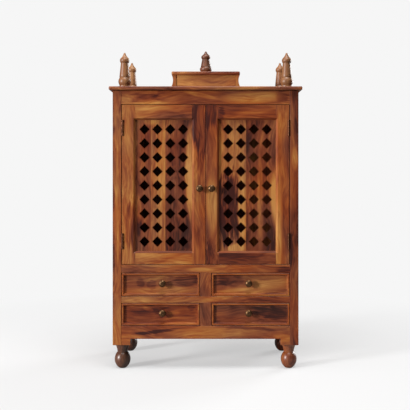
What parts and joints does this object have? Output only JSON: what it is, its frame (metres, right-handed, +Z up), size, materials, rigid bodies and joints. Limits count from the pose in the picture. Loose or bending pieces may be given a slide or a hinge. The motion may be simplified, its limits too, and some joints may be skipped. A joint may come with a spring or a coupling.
{
  "type": "pooja mandir cabinet",
  "caption": "Sheesham home temple cabinet with a pair of lattice doors, drawers under them, turned ball feet and turned finials round a small cap.",
  "frame": {"origin": "on the floor, in the middle of the overall box", "axes": "+Z up, front with the doors towards -Y, +X to the right of someone who faces it"},
  "size_m": [0.926, 0.469, 1.558],
  "materials": {
    "sheesham_frame": "satin lacquer",
    "sheesham_panel": "satin lacquer",
    "turned_sheesham": "satin lacquer",
    "drawer_wood": "plain",
    "antique_brass": "aged",
    "dark_steel": "dark"
  },
  "bodies": {
    "cabinet": {"front_posts": "sheesham_frame", "back_posts": "sheesham_frame", "lintel_rail": "sheesham_frame", "middle_rail": "sheesham_frame", "drawer_divider_rail": "sheesham_frame", "drawer_muntins": "sheesham_frame", "front_apron": "sheesham_frame", "side_panels": "sheesham_panel", "back_panel": "sheesham_panel", "shrine_floor": "sheesham_panel", "upper_dust_board": "sheesham_panel", "base_board": "sheesham_panel", "corner_blocks": "sheesham_frame", "feet": "turned_sheesham", "top_board": "sheesham_panel", "cap_ends": "sheesham_panel", "cap_boards": "sheesham_panel", "cap_slab": "sheesham_panel", "corner_finials": "turned_sheesham", "centre_finial": "turned_sheesham", "post_hinge_leaves": "dark_steel", "upper_drawer_guides": "drawer_wood", "lower_drawer_guides": "drawer_wood"},
    "left_door": {"left_door_stiles": "sheesham_frame", "left_door_rails": "sheesham_frame", "left_door_lattice": "sheesham_panel", "left_door_hinge_leaves": "dark_steel", "left_door_knob": "antique_brass"},
    "right_door": {"right_door_stiles": "sheesham_frame", "right_door_rails": "sheesham_frame", "right_door_lattice": "sheesham_panel", "right_door_hinge_leaves": "dark_steel", "right_door_knob": "antique_brass"},
    "upper_left_drawer": {"upper_left_drawer_front": "sheesham_frame", "upper_left_drawer_tray": "drawer_wood", "upper_left_drawer_knob": "antique_brass"},
    "upper_right_drawer": {"upper_right_drawer_front": "sheesham_frame", "upper_right_drawer_tray": "drawer_wood", "upper_right_drawer_knob": "antique_brass"},
    "lower_left_drawer": {"lower_left_drawer_front": "sheesham_frame", "lower_left_drawer_tray": "drawer_wood", "lower_left_drawer_knob": "antique_brass"},
    "lower_right_drawer": {"lower_right_drawer_front": "sheesham_frame", "lower_right_drawer_tray": "drawer_wood", "lower_right_drawer_knob": "antique_brass"}
  },
  "joints": [
    {"name": "left_door_hinge", "type": "hinge", "parent": "cabinet", "child": "left_door", "pos_m": [-0.3985, -0.2075, 0.886], "axis": [0, 0, -1], "range_deg": [0, 110]},
    {"name": "right_door_hinge", "type": "hinge", "parent": "cabinet", "child": "right_door", "pos_m": [0.3985, -0.2075, 0.886], "axis": [0, 0, 1], "range_deg": [0, 110]},
    {"name": "upper_left_drawer_slide", "type": "slide", "parent": "cabinet", "child": "upper_left_drawer", "axis": [0, -1, 0], "range_m": [0, 0.3]},
    {"name": "upper_right_drawer_slide", "type": "slide", "parent": "cabinet", "child": "upper_right_drawer", "axis": [0, -1, 0], "range_m": [0, 0.3]},
    {"name": "lower_left_drawer_slide", "type": "slide", "parent": "cabinet", "child": "lower_left_drawer", "axis": [0, -1, 0], "range_m": [0, 0.3]},
    {"name": "lower_right_drawer_slide", "type": "slide", "parent": "cabinet", "child": "lower_right_drawer", "axis": [0, -1, 0], "range_m": [0, 0.3]}
  ]
}
